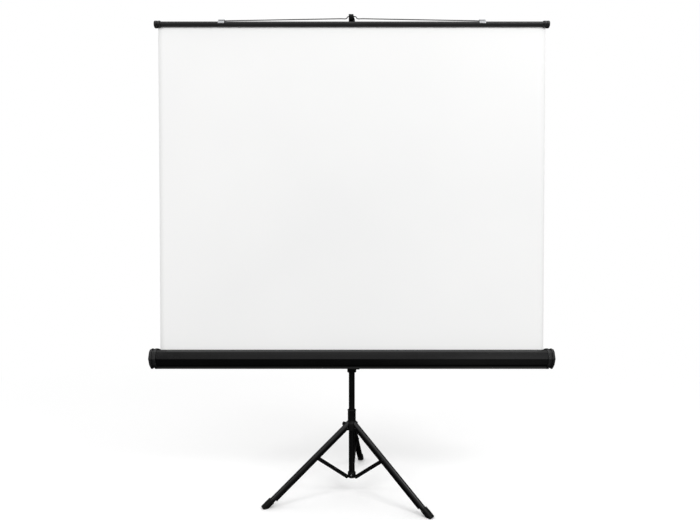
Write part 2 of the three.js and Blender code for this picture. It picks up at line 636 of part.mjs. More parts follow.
// a lip flares out of the lower front face, down to the keel's level
const chinSlope = (CASE_SHOULDER - CASE_KEEL_HALF) / (CASE_KEEL - CASE_CHIN);
const lipRoot = CASE_KEEL_HALF + CASE_LIP * chinSlope;
const lipEdge = lipRoot + CASE_LIP_FLARE;
const lipEnd = capInner - SEAT_GAP;
const lip = drawnX([
  [-lipRoot, CASE_LIP - CASE_KEEL], [-lipEdge, CASE_LIP_EDGE - CASE_KEEL], [CASE_LIP_EDGE - lipEdge, -CASE_KEEL],
  [-CASE_KEEL_HALF, -CASE_KEEL], [-CASE_KEEL_HALF, CASE_WALL - CASE_KEEL],
], -lipEnd, lipEnd);
const shell = cut(drawnX(caseOutline, -caseHalf, caseHalf), [hollow, slot]);
caseGroup.add(piece("case_shell", shell.add(lip), blackPaint()));

// End cap on the +X end: sleeve, neck and dome over a pocket for the shell
const capNeck = capInner + CAP_SLEEVE;
const capDome = capNeck + CAP_NECK;
const capEnd = capDome + CAP_DOME;
const capBody = join([
  pillowX(outset(caseOutline, CAP_PROUD), capInner, capNeck, CAP_SLEEVE_EDGE),
  drawnX(outset(caseOutline, -CAP_NECK_SUNK), capNeck - 2 * CAP_SLEEVE_EDGE, capDome + CAP_DOME_EDGE),
  pillowX(outset(caseOutline, CAP_PROUD), capDome, capEnd, CAP_DOME_EDGE),
]);
const pocket = drawnX(outset(caseOutline, SEAT_GAP), capInner - OVER, caseHalf + SEAT_GAP);
const journalEnd = caseHalf + SEAT_GAP + JOURNAL_DEPTH;
const journalHole = alongX(rod(JOURNAL_R + PIN_GAP, caseHalf - OVER, journalEnd + SEAT_GAP));
const arborHole = alongX(rod(ARBOR_R + PIN_GAP, caseHalf - OVER, journalEnd + SEAT_GAP));
caseGroup.add(piece("case_cap_right", cut(capBody, [pocket, journalHole]), blackPlastic()));
const leftCap = cut(capBody, [pocket, arborHole]).mirror([1, 0, 0]);
caseGroup.add(piece("case_cap_left", leftCap, blackPlastic()));

// Bracket plate on the case's back, and the pin that the case turns on
const bracketFront = CASE_SHOULDER + SEAT_GAP;
const bracketBack = bracketFront + BRACKET_THICK;
const padFront = CASE_Y + bracketBack + SEAT_GAP;
const pinBack = -columnBore - CASE_PIN_LEFT;
const bracketWide = BRACKET_HALF_WIDTH - BRACKET_CORNER;
const bracketHigh = BRACKET_HALF_HEIGHT - BRACKET_CORNER;
const bracketOutline = [
  ...arc(bracketWide, bracketHigh, BRACKET_CORNER, 0, 90, CORNER_STEPS),
  ...arc(-bracketWide, bracketHigh, BRACKET_CORNER, 90, 180, CORNER_STEPS),
  ...arc(-bracketWide, -bracketHigh, BRACKET_CORNER, 180, 270, CORNER_STEPS),
  ...arc(bracketWide, -bracketHigh, BRACKET_CORNER, 270, 360, CORNER_STEPS),
];
const plate = drawnY(bracketOutline, BRACKET_THICK / 2).translate([0, (bracketFront + bracketBack) / 2, 0]);
const plateHole = alongY(rod(CASE_PIN_R + PIN_GAP, 0, 2 * bracketBack));
caseGroup.add(piece("case_bracket", plate.subtract(plateHole), blackPaint()));
const casePin = alongY(rod(CASE_PIN_R, CASE_Y + bracketFront, pinBack - SEAT_GAP)).translate([0, 0, CASE_Z]);
screen.add(piece("case_pivot_pin", casePin, darkSteel()));

// Carriage: sleeve on the column, pad for the pivot, stop tab under the case
const sleeveFoot = CASE_Z - CARRIAGE_BELOW;
const sleeveTop = CASE_Z + CARRIAGE_ABOVE;
const sleeve = turned([
  [0, sleeveFoot], [CARRIAGE_R - CARRIAGE_CHAMFER, sleeveFoot], [CARRIAGE_R, sleeveFoot + CARRIAGE_CHAMFER],
  [CARRIAGE_R, sleeveTop - CARRIAGE_CHAMFER], [CARRIAGE_R - CARRIAGE_CHAMFER, sleeveTop], [0, sleeveTop],
]);
const pad = block(
  [-PAD_HALF_WIDTH, padFront, CASE_Z - PAD_HALF_HEIGHT],
  [PAD_HALF_WIDTH, -columnBore / 2, CASE_Z + PAD_HALF_HEIGHT],
);
const tabTop = CASE_Z - CASE_KEEL - SEAT_GAP;
const tab = block([0, CASE_Y - TAB_FRONT, tabTop - TAB_THICK], [TAB_WIDTH, -columnBore / 2, tabTop]);
const casePinHole = alongY(rod(CASE_PIN_R + PIN_GAP, padFront - OVER, pinBack)).translate([0, 0, CASE_Z]);
const carriageHole = screwHole.translate([0, 0, CASE_Z]).rotate([0, 0, 90]);
const carriageBody = cut(join([sleeve, pad, tab]), [boreTool, casePinHole, carriageHole]);
screen.add(piece("carriage_sleeve", carriageBody, blackPlastic()));
const carriageKnob = piece("carriage_knob", knob(columnBore + SEAT_GAP, CARRIAGE_R + SEAT_GAP), blackPlastic());
carriageKnob.position.z = CASE_Z;
carriageKnob.rotation.z = Math.PI / 2;
screen.add(carriageKnob);

// Roller with its plugs, arbor and torsion spring
const rollerHalf = caseHalf - ROLLER_SHY;
const rollerBore = ROLLER_R - ROLLER_WALL;
const plugOuter = rollerBore - SEAT_GAP;
caseGroup.add(piece("roller_tube", alongX(tube(ROLLER_R, rollerBore, -rollerHalf, rollerHalf)), zinc()));
const plugLip = rollerHalf + SEAT_GAP;
const rightPlug = turned([
  [0, plugLip - PLUG_LENGTH], [plugOuter, plugLip - PLUG_LENGTH], [plugOuter, plugLip], [ROLLER_R, plugLip],
  [ROLLER_R, plugLip + PLUG_LIP], [JOURNAL_R, plugLip + PLUG_LIP], [JOURNAL_R, journalEnd], [0, journalEnd],
], SMALL_SIDES);
caseGroup.add(piece("roller_plug_right", alongX(rightPlug), blackPlastic()));
const bearing = ARBOR_R + PIN_GAP;
const leftPlug = turned([
  [bearing, plugLip - PLUG_LENGTH], [plugOuter, plugLip - PLUG_LENGTH], [plugOuter, plugLip],
  [ROLLER_R, plugLip], [ROLLER_R, plugLip + PLUG_LIP], [bearing, plugLip + PLUG_LIP],
], SMALL_SIDES);
caseGroup.add(piece("roller_plug_left", alongX(leftPlug).mirror([1, 0, 0]), blackPlastic()));
const arborEnd = ARBOR_LENGTH - journalEnd;
caseGroup.add(piece("spring_arbor", alongX(rod(ARBOR_R, -journalEnd, arborEnd, SMALL_SIDES)), zinc()));
const anchorFrom = arborEnd + SEAT_GAP;
const anchor = alongX(rod(plugOuter, anchorFrom, anchorFrom + PLUG_LENGTH, SMALL_SIDES));
caseGroup.add(piece("spring_anchor", anchor, blackPlastic()));

// Torsion spring between the left plug and the anchor
class SpringCurve extends THREE.Curve {
  constructor(from, to) {
    super();
    this.from = from;
    this.to = to;
  }
  getPoint(t, target = new THREE.Vector3()) {
    const angle = 2 * Math.PI * SPRING_TURNS * t;
    const along = this.from + (this.to - this.from) * t;
    return target.set(along, SPRING_R * Math.cos(angle), SPRING_R * Math.sin(angle));
  }
}
const springFrom = -rollerHalf + PLUG_LENGTH + SPRING_WIRE_R;
const springCurve = new SpringCurve(springFrom, arborEnd - SPRING_WIRE_R);
const spring = new THREE.ExtrudeGeometry(wireSection(SPRING_WIRE_R, SPRING_SIDES), {
  steps: SPRING_TURNS * SPRING_STEPS,
  extrudePath: springCurve,
  bevelEnabled: false,
});
caseGroup.add(piece("roller_spring", solid(spring), darkSteel()));

// Screen fabric: wound on the roller, out of the slot and up into the bar
const woundR = ROLLER_R + SEAT_GAP + FABRIC_THICK / 2;
const lastR = woundR + WOUND_TURNS * WOUND_PITCH;
const slotZ = CASE_CROWN + 2 * OVER;
const toSlot = Math.hypot(FABRIC_AHEAD, slotZ);
const leaveAngle = Math.atan2(slotZ, FABRIC_AHEAD) - Math.acos(lastR / toSlot);
const windSteps = WOUND_TURNS * WOUND_STEPS;
const fabricPath = Array.from({ length: windSteps + 1 }, (_, i) => {
  const turns = WOUND_TURNS * (1 - i / windSteps);
  const angle = leaveAngle - 2 * Math.PI * turns;
  const radius = lastR - WOUND_PITCH * turns;
  return [-radius * Math.cos(angle), radius * Math.sin(angle)];
});
const hemZ = BAR_Z - CASE_Z - BAR_R + HEM_DEPTH;
fabricPath.push([-FABRIC_AHEAD, slotZ], [-FABRIC_AHEAD, hemZ]);
const fabricSide = (sign) => fabricPath.map(([y, z], i) => {
  const [y1, z1] = fabricPath[Math.max(i - 1, 0)];
  const [y2, z2] = fabricPath[Math.min(i + 1, fabricPath.length - 1)];
  const length = Math.hypot(y2 - y1, z2 - z1);
  const half = (sign * FABRIC_THICK) / 2;
  return [y - (half * (z2 - z1)) / length, z + (half * (y2 - y1)) / length];
});
const fabricOutline = [...fabricSide(-1), ...fabricSide(1).reverse()];
const fabric = piece("screen_fabric", drawnX(fabricOutline, -FABRIC_WIDTH / 2, FABRIC_WIDTH / 2), whiteCloth());
caseGroup.add(fabric);

// Top bar with its end caps
const barGroup = new THREE.Group();
barGroup.position.set(0, fabricY, BAR_Z);
screen.add(barGroup);
const barCapEnd = FABRIC_WIDTH / 2 + BAR_CAP_OVERHANG;
const barCapInner = barCapEnd - BAR_CAP_LENGTH;
const barHalf = barCapEnd - BAR_CAP_WALL - SEAT_GAP;
const barSlot = block([-barHalf - OVER, -BAR_SLOT_HALF, -2 * BAR_R], [barHalf + OVER, BAR_SLOT_HALF, 0]);
const barTube = alongX(tube(BAR_R, BAR_R - BAR_WALL, -barHalf, barHalf));
barGroup.add(piece("bar_tube", barTube.subtract(barSlot), blackPaint()));
const grooveR = BAR_CAP_R - BAR_CAP_GROOVE;
const capMiddle = (barCapInner + barCapEnd) / 2;
const barCapOutline = [
  [BAR_R + SEAT_GAP, barCapInner], [BAR_CAP_R - BAR_CAP_CHAMFER, barCapInner],
  [BAR_CAP_R, barCapInner + BAR_CAP_CHAMFER], [BAR_CAP_R, capMiddle - BAR_CAP_GROOVE],
  [grooveR, capMiddle - BAR_CAP_GROOVE / 3], [grooveR, capMiddle + BAR_CAP_GROOVE / 3],
  [BAR_CAP_R, capMiddle + BAR_CAP_GROOVE], [BAR_CAP_R, barCapEnd - BAR_CAP_EDGE],
  [BAR_CAP_R - BAR_CAP_EDGE / 3, barCapEnd - BAR_CAP_EDGE / 3], [BAR_CAP_R - BAR_CAP_EDGE, barCapEnd],
  [0, barCapEnd], [0, barHalf + SEAT_GAP], [BAR_R + SEAT_GAP, barHalf + SEAT_GAP],
];
const fabricEdge = FABRIC_WIDTH / 2 + OVER;
const capNotch = block([barCapInner - OVER, -BAR_SLOT_HALF, -2 * BAR_CAP_R], [fabricEdge, BAR_SLOT_HALF, 0]);
const barCap = alongX(turned(barCapOutline)).subtract(capNotch);
barGroup.add(piece("bar_cap_right", barCap, blackPlastic()));
barGroup.add(piece("bar_cap_left", barCap.mirror([1, 0, 0]), blackPlastic()));

// Clips that hold the ends of the bail on the bar
const wireRise = BAR_R + WIRE_CLEAR + WIRE_R;
const wireHole = WIRE_R + PIN_GAP;
const clipR = wireHole + CLIP_WALL;
const clipOutline = [[clipR, 0], ...arc(0, wireRise, clipR, 0, 180, 2 * CORNER_STEPS), [-clipR, 0]];
const clipWire = alongX(rod(wireHole, -CLIP_LENGTH, CLIP_LENGTH, SMALL_SIDES)).translate([0, 0, wireRise]);
const clipSeat = alongX(rod(BAR_R + SEAT_GAP, -CLIP_LENGTH, CLIP_LENGTH));
const barrel = cut(pillowX(clipOutline, -CLIP_LENGTH / 2, CLIP_LENGTH / 2, CLIP_EDGE), [clipSeat]);
const saddleR = BAR_R + SEAT_GAP + CLIP_PLATE;
const ring = alongX(tube(saddleR, BAR_R + SEAT_GAP, -CLIP_LENGTH / 2, CLIP_LENGTH / 2));
const under = block([-CLIP_LENGTH, -2 * saddleR, -2 * saddleR], [CLIP_LENGTH, 2 * saddleR, CLIP_WRAP]);
const clip = cut(barrel.add(ring), [under, clipWire]);
for (const [side, x] of [["left", -CLIP_X], ["right", CLIP_X]]) {
  const mesh = piece(`bail_clip_${side}`, clip, zinc());
  mesh.position.x = x;
  barGroup.add(mesh);
}

// Wire bail from clip to clip, over the hook's seat
const crestZ = HOOK_SEAT_RISE + SEAT_GAP + WIRE_R;
const shoulderZ = crestZ - WIRE_HUMP;
const wireEnd = CLIP_X + CLIP_LENGTH / 2 - CLIP_EDGE;
const crestX = HOOK_HALF_WIDTH + 1.5 * WIRE_R;
const onRun = (x) => {
  const share = (CLIP_X - x) / (CLIP_X - WIRE_SHOULDER_X);
  return [x, HOOK_REACH * share, wireRise + (shoulderZ - wireRise) * share];
};
const halfWire = [
  [wireEnd, 0, wireRise], [CLIP_X - CLIP_LENGTH / 2, 0, wireRise],
  onRun(CLIP_X - CLIP_LENGTH), onRun(CLIP_X / 2), onRun(2 * WIRE_SHOULDER_X), onRun(WIRE_SHOULDER_X),
  [crestX, HOOK_REACH, crestZ], [crestX / 3, HOOK_REACH, crestZ],
];
const wirePoints = [
  ...halfWire.map(([x, y, z]) => new THREE.Vector3(-x, y, z)),
  ...halfWire.map(([x, y, z]) => new THREE.Vector3(x, y, z)).reverse(),
];
// its steps are shared out by bend, so the crest gets as many as a long straight run
class BailCurve extends THREE.CatmullRomCurve3 {
  getPointAt(u, target) {
    return this.getPoint(u, target);
  }
  getTangentAt(u, target) {
    return this.getTangent(u, target);
  }
}
const wirePath = new BailCurve(wirePoints, false, "centripetal");
const wireSteps = WIRE_STEPS * (wirePoints.length - 1);
const bail = new THREE.ExtrudeGeometry(wireSection(WIRE_R, WIRE_SIDES), {
  steps: wireSteps,
  extrudePath: wirePath,
  bevelEnabled: false,
});
barGroup.add(piece("bail_wire", solid(bail), darkSteel()));

// The floor under the middle of the screen becomes the origin
screen.updateMatrixWorld(true);
const box = new THREE.Box3().setFromObject(screen, true);
const middle = box.getCenter(new THREE.Vector3());
screen.position.set(-middle.x, -middle.y, -box.min.z);
screen.updateMatrixWorld(true);

export default screen;
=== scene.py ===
"""Tripod projection screen, drawn up and hooked on its mast: the dressed part on a pale floor."""

import json
import math

import bmesh
import bpy
from mathutils import Matrix, Vector

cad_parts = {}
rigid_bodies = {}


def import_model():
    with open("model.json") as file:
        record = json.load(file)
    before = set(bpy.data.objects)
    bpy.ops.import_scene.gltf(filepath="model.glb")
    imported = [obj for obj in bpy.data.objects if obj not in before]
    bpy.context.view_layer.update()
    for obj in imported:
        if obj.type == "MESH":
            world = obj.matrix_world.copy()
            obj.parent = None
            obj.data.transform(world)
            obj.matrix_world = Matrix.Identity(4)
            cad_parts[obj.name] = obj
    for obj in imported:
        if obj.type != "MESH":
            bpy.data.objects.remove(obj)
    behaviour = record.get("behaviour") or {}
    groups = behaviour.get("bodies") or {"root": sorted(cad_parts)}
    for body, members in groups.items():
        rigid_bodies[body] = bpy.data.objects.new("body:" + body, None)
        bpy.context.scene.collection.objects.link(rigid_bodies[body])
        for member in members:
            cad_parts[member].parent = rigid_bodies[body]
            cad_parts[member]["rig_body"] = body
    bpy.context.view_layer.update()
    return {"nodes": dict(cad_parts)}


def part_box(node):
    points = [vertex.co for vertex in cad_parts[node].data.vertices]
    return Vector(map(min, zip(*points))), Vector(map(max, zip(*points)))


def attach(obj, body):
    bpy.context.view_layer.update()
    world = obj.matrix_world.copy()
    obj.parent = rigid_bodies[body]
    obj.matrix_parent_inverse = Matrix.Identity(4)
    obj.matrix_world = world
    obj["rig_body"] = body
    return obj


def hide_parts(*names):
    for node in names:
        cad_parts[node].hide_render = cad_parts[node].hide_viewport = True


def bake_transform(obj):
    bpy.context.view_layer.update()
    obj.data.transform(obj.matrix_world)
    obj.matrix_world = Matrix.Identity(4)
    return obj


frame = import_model()
NODES = frame["nodes"]
scene = bpy.context.scene
scene.view_settings.view_transform = "Standard"

MM = 0.001


def middle(node):
    low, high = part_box(node)
    return (Vector(low) + Vector(high)) / 2


MAST_Y = middle("column_tube").y
CASE_MIDDLE = middle("roller_tube")
BAR_AXIS = middle("bar_tube")

# Camera, in metres and degrees: before the screen, a little below its middle, and dipped slightly
LENS = 28.796
SENSOR = 36
CLIP_END = 100
CAMERA_X = -0.0071
CAMERA_HEIGHT = 0.978
CAMERA_BEFORE_MAST = 2.2296
CAMERA_DIP = 1.18


def camera():
    data = bpy.data.cameras.new("camera")
    data.sensor_width = SENSOR
    data.lens = LENS
    data.clip_end = CLIP_END
    obj = bpy.data.objects.new("camera", data)
    obj.location = (CAMERA_X, MAST_Y - CAMERA_BEFORE_MAST, CAMERA_HEIGHT)
    obj.rotation_euler = (math.radians(90 - CAMERA_DIP), 0, 0)
    scene.collection.objects.link(obj)
    scene.camera = obj


# Pointiness between which an edge goes from sound to worn
EDGE_SOUND = 0.53
EDGE_WORN = 0.62


class Shader:
    """A node material with a few short cuts."""

    def __init__(self, name, **sockets):
        self.material = bpy.data.materials.new(name)
        self.material.use_nodes = True
        self.nodes = self.material.node_tree.nodes
        self.links = self.material.node_tree.links
        self.surface = self.nodes["Principled BSDF"]
        for socket, value in sockets.items():
            self.surface.inputs[socket.replace("_", " ")].default_value = value
        self.place = self.nodes.new("ShaderNodeTexCoord").outputs["Object"]

    def stretched(self, x, y, z):
        node = self.nodes.new("ShaderNodeMapping")
        node.inputs["Scale"].default_value = (x, y, z)
        self.links.new(self.place, node.inputs["Vector"])
        return node.outputs["Vector"]

    def noise(self, scale, detail=2.0, rough=0.5, place=None):
        node = self.nodes.new("ShaderNodeTexNoise")
        node.inputs["Scale"].default_value = scale
        node.inputs["Detail"].default_value = detail
        node.inputs["Roughness"].default_value = rough
        self.links.new(place or self.place, node.inputs["Vector"])
        return node.outputs["Fac"]

    def wave(self, scale, axis, distortion):
        node = self.nodes.new("ShaderNodeTexWave")
        node.bands_direction = axis
        node.inputs["Scale"].default_value = scale
        node.inputs["Distortion"].default_value = distortion
        self.links.new(self.place, node.inputs["Vector"])
        return node.outputs["Fac"]

    def ramp(self, fac, low, high, start=0.3, end=0.7):
        node = self.nodes.new("ShaderNodeValToRGB")
        node.color_ramp.elements[0].position = start
        node.color_ramp.elements[1].position = end
        node.color_ramp.elements[0].color = (*low, 1)
        node.color_ramp.elements[1].color = (*high, 1)
        self.links.new(fac, node.inputs["Fac"])
        return node.outputs["Color"]

    def spread(self, fac, low, high, start=0.3, end=0.7):
        node = self.nodes.new("ShaderNodeMapRange")
        for socket, value in (("From Min", start), ("From Max", end), ("To Min", low), ("To Max", high)):
            node.inputs[socket].default_value = value
        self.links.new(fac, node.inputs["Value"])
        return node.outputs["Result"]

    def mixed(self, fac, one, two):
        node = self.nodes.new("ShaderNodeMix")
        node.data_type = "RGBA"
        self.links.new(fac, node.inputs["Factor"])
        self.links.new(one, node.inputs["A"])
        self.links.new(two, node.inputs["B"])
        return node.outputs["Result"]

    def product(self, one, two):
        node = self.nodes.new("ShaderNodeMath")
        node.operation = "MULTIPLY"
        self.links.new(one, node.inputs[0])
        self.links.new(two, node.inputs[1])
        return node.outputs["Value"]

    def edges(self):
        node = self.nodes.new("ShaderNodeNewGeometry")
        return self.spread(node.outputs["Pointiness"], 0, 1, EDGE_SOUND, EDGE_WORN)

    def bump(self, height, strength, distance):
        node = self.nodes.new("ShaderNodeBump")
        node.inputs["Strength"].default_value = strength
        node.inputs["Distance"].default_value = distance
        self.links.new(height, node.inputs["Height"])
        self.links.new(node.outputs["Normal"], self.surface.inputs["Normal"])

    def to(self, socket, value):
        self.links.new(value, self.surface.inputs[socket])


def black_paint():
    """Stoved gloss paint of the tubes, legs and case."""
    s = Shader("black_paint", IOR=1.6)
    blotch = s.ramp(s.noise(7, 3), (0.0016, 0.0016, 0.0018), (0.0032, 0.0032, 0.0034))
    worn = s.ramp(s.noise(260, 4), (0.006, 0.006, 0.0065), (0.02, 0.02, 0.021), 0.4, 0.7)
    s.to("Base Color", s.mixed(s.edges(), blotch, worn))
    s.to("Roughness", s.spread(s.noise(34, 4), 0.11, 0.19))
    s.bump(s.noise(750, 2), strength=0.09, distance=0.0004)
    return s.material


def satin_black():
    """Drawn, anodised tube of the top bar."""
    s = Shader("satin_black", IOR=1.5)
    drawn = s.noise(40, 4, 0.6, s.stretched(0.2, 5, 5))
    s.to("Base Color", s.ramp(drawn, (0.013, 0.013, 0.0132), (0.019, 0.019, 0.0193)))
    s.to("Roughness", s.spread(s.noise(50, 3), 0.3, 0.4))
    s.bump(drawn, strength=0.05, distance=0.0003)
    return s.material


def black_plastic():
    """Fine-grained mouldings: hub, boss, clamps, knobs and hook."""
    s = Shader("black_plastic", IOR=1.33)
    blotch = s.ramp(s.noise(18, 3), (0.0018, 0.0018, 0.002), (0.0036, 0.0036, 0.0038))
    worn = s.ramp(s.noise(420, 3), (0.012, 0.012, 0.0125), (0.026, 0.026, 0.027), 0.4, 0.7)
    s.to("Base Color", s.mixed(s.edges(), blotch, worn))
    s.to("Roughness", s.spread(s.noise(60, 3), 0.36, 0.5))
    s.bump(s.noise(1500, 3, 0.6), strength=0.28, distance=0.0004)
    return s.material


def moulded_cap():
    """Glossier mouldings: the end caps of the case and bar."""
    s = Shader("moulded_cap", IOR=1.65)
    blotch = s.ramp(s.noise(18, 3), (0.011, 0.011, 0.0113), (0.016, 0.016, 0.0164))
    worn = s.ramp(s.noise(420, 3), (0.02, 0.02, 0.021), (0.05, 0.05, 0.051), 0.4, 0.7)
    s.to("Base Color", s.mixed(s.edges(), blotch, worn))
    s.to("Roughness", s.spread(s.noise(60, 3), 0.2, 0.3))
    s.bump(s.noise(1100, 3, 0.6), strength=0.16, distance=0.0004)
    return s.material


def black_rubber():
    """Slightly dusty feet."""
    s = Shader("black_rubber", IOR=1.4)
    dust = s.ramp(s.noise(90, 5, 0.65), (0.002, 0.002, 0.0022), (0.006, 0.0058, 0.0056), 0.42, 0.72)
    s.to("Base Color", dust)
    s.to("Roughness", s.spread(s.noise(140, 3), 0.42, 0.6))
    s.bump(s.noise(900, 4, 0.65), strength=0.4, distance=0.0006)
    return s.material


def zinc_steel():
    s = Shader("zinc_steel", Metallic=1.0)
    drawn = s.noise(60, 3, 0.6, s.stretched(1, 14, 14))
    s.to("Base Color", s.ramp(drawn, (0.60, 0.61, 0.63), (0.80, 0.81, 0.83)))
    s.to("Roughness", s.spread(s.noise(160, 4), 0.22, 0.42))
    s.bump(drawn, strength=0.08, distance=0.0003)
    return s.material


def dark_steel():
    s = Shader("dark_steel", Metallic=1.0)
    drawn = s.noise(90, 4, 0.6)
    s.to("Base Color", s.ramp(drawn, (0.13, 0.13, 0.135), (0.24, 0.24, 0.25)))
    s.to("Roughness", s.spread(s.noise(300, 3), 0.26, 0.44))
    s.bump(s.noise(1300, 2), strength=0.08, distance=0.0003)
    return s.material


def roller_aluminium():
    s = Shader("roller_aluminium", Metallic=1.0)
    drawn = s.noise(70, 4, 0.6, s.stretched(0.05, 6, 6))
    s.to("Base Color", s.ramp(drawn, (0.62, 0.62, 0.63), (0.74, 0.74, 0.75)))
    s.to("Roughness", s.spread(drawn, 0.3, 0.45))
    return s.material


def white_screen():
    """Matt white face of the fabric, with a fine bead."""
    s = Shader("white_screen", IOR=1.4, Specular_IOR_Level=0.2)
    tone = s.ramp(s.noise(1.3, 3), (0.905, 0.907, 0.905), (0.945, 0.945, 0.94))
    bead = s.noise(2600, 2, 0.6)
    s.to("Base Color", tone)
    s.to("Roughness", s.spread(bead, 0.82, 0.95))
    s.bump(bead, strength=0.12, distance=0.0003)
    return s.material


def screen_back():
    """Woven back of the fabric."""
    s = Shader("screen_back", IOR=1.4, Specular_IOR_Level=0.15)
    across = s.wave(420, "X", 0.6)
    along = s.wave(420, "Z", 0.6)
    weave = s.product(across, along)
    s.to("Base Color", s.ramp(weave, (0.66, 0.66, 0.65), (0.80, 0.80, 0.79), 0.1, 0.8))
    s.to("Roughness", s.spread(s.noise(900, 2), 0.85, 0.97))
    s.bump(weave, strength=0.25, distance=0.0004)
    return s.material


MATERIALS = {
    "black_paint": black_paint(),
    "satin_black": satin_black(),
    "black_plastic": black_plastic(),
    "moulded_cap": moulded_cap(),
    "black_rubber": black_rubber(),
    "zinc_steel": zinc_steel(),
    "dark_steel": dark_steel(),
    "roller_aluminium": roller_aluminium(),
    "white_screen": white_screen(),
    "screen_back": screen_back(),
}

PLASTIC = {
    "column_boss", "hub_collar", "hub_knob", "mast_clamp", "mast_knob", "mast_plug", "mast_hook",
    "carriage_sleeve", "carriage_knob", "roller_plug_left", "roller_plug_right", "spring_anchor",
}
ZINC = {"bail_clip_left", "bail_clip_right", "spring_arbor"}
STEEL = {"bail_wire", "roller_spring", "case_pivot_pin"}


def finish_of(node):
    if "_cap_" in node:
        return "moulded_cap"
    if node in PLASTIC:
        return "black_plastic"
    if node in ZINC:
        return "zinc_steel"
    if node in STEEL:
        return "dark_steel"
    if node.startswith("foot_"):
        return "black_rubber"
    if node == "roller_tube":
        return "roller_aluminium"
    if node == "bar_tube":
        return "satin_black"
    return "black_paint"


def new_object(name, bm, finish, smooth):
    """An object from a bmesh, smooth across edges up to the angle given in degrees."""
    mesh = bpy.data.meshes.new(name)
    bm.to_mesh(mesh)
    bm.free()
    for face in mesh.polygons:
        face.use_smooth = True
    mesh.set_sharp_from_angle(angle=math.radians(smooth))
    obj = bpy.data.objects.new(name, mesh)
    scene.collection.objects.link(obj)
    mesh.materials.append(MATERIALS[finish])
    return obj


# Rounded edges in mm, by the way each piece is made
EDGE = 0.3
EDGES = {
    "case_shell": 0.9,
    "case_cap_left": 0.9,
    "case_cap_right": 0.9,
    "case_bracket": 0.4,
    "carriage_sleeve": 0.6,
    "hub_collar": 0.8,
    "column_boss": 0.7,
    "mast_hook": 1.0,
    "mast_clamp": 0.6,
    "hub_knob": 0.4,
    "mast_knob": 0.4,
    "carriage_knob": 0.4,
}
EDGE_STEPS = 2
EDGE_PROFILE = 0.6

# Corners closer than this, in metres, are one
WELD = 2e-6

# Degrees up to which faces are one plane, above which an edge is rounded, and up to which shading is smooth
PLANE_ANGLE = 0.8
ROUNDED_ANGLE = 20
SMOOTH_ANGLE = 40


def finished(node):
    """A CAD piece with its edges rounded and its rounds smooth."""
    bm = bmesh.new()
    bm.from_mesh(NODES[node].data)
    bmesh.ops.remove_doubles(bm, verts=bm.verts, dist=WELD)
    bmesh.ops.dissolve_limit(bm, angle_limit=math.radians(PLANE_ANGLE), verts=bm.verts, edges=bm.edges)
    bmesh.ops.recalc_face_normals(bm, faces=bm.faces)
    least = math.radians(ROUNDED_ANGLE)
    sharp = [edge for edge in bm.edges if len(edge.link_faces) == 2 and edge.calc_face_angle(0) > least]
    bmesh.ops.bevel(
        bm,
        geom=sharp,
        offset=EDGES.get(node, EDGE) * MM,
        offset_type="OFFSET",
        segments=EDGE_STEPS,
        profile=EDGE_PROFILE,
        affect="EDGES",
        clamp_overlap=True,
    )
    obj = new_object(node + "_finished", bm, finish_of(node), SMOOTH_ANGLE)
    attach(obj, NODES[node]["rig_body"])
    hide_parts(node)


# Outline of a rivet or screw head, in shares of its radius and height
HEAD = ((1, -0.15), (1, 0.12), (0.93, 0.5), (0.72, 0.83), (0.4, 1.0))
HEAD_SIDES = 20
HEAD_SMOOTH = 30
RECESS_DEPTH = 0.7


def head(name, centre, normal, size, finish, body, recess=0.0):
    """A turned head on a face: size is its radius and height, recess the radius of a screw's drive."""
    radius, height = size
    bm = bmesh.new()
    rings = []
    for out, up in HEAD:
        ring = []
        for i in range(HEAD_SIDES):
            angle = 2 * math.pi * i / HEAD_SIDES
            x = radius * out * math.cos(angle)
            y = radius * out * math.sin(angle)
            ring.append(bm.verts.new((x, y, height * up)))
        rings.append(ring)
    for low, high in zip(rings, rings[1:]):
        for i in range(HEAD_SIDES):
            after = (i + 1) % HEAD_SIDES
            bm.faces.new((low[i], low[after], high[after], high[i]))
    bm.faces.new(list(reversed(rings[0])))
    top = bm.faces.new(rings[-1])
    if recess:
        bmesh.ops.inset_region(bm, faces=[top], thickness=radius * HEAD[-1][0] - recess)
        for vert in top.verts:
            vert.co.z -= height * RECESS_DEPTH
    turn = Vector((0, 0, 1)).rotation_difference(Vector(normal).normalized()).to_matrix().to_4x4()
    bmesh.ops.transform(bm, matrix=Matrix.Translation(centre) @ turn, verts=bm.verts)
    obj = new_object(name, bm, finish, HEAD_SMOOTH)
    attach(obj, body)


# Fabric in mm: its turns on the roller, the gap and half thickness under them, and its way up to the bar
WOUND_PITCH = 0.85
WOUND_TURNS = 3
WOUND_STEPS = 40
WOUND_GAP = 0.3
WOUND_HALF = 0.25
SLOT_RISE = 2
FREE_ROWS = 60


def fabric_path():
    """Line of the fabric from the roller to the bar, as (y, z) from the case's middle, in mm."""
    ahead = (CASE_MIDDLE.y - BAR_AXIS.y) / MM
    slot = (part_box("case_shell")[1][2] - CASE_MIDDLE.z) / MM + SLOT_RISE
    roller = (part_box("roller_tube")[1][2] - CASE_MIDDLE.z) / MM
    last = roller + WOUND_GAP + WOUND_HALF + WOUND_TURNS * WOUND_PITCH
    leave = math.atan2(slot, ahead) - math.acos(last / math.hypot(ahead, slot))
    steps = WOUND_TURNS * WOUND_STEPS
    path = []
    for i in range(steps + 1):
        left = WOUND_TURNS * (1 - i / steps)
        angle = leave - 2 * math.pi * left
        radius = last - WOUND_PITCH * left
        path.append((-radius * math.cos(angle), radius * math.sin(angle)))
    top = (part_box("screen_fabric")[1][2] - CASE_MIDDLE.z) / MM
    for i in range(FREE_ROWS + 1):
        path.append((-ahead, slot + (top - slot) * i / FREE_ROWS))
    return path


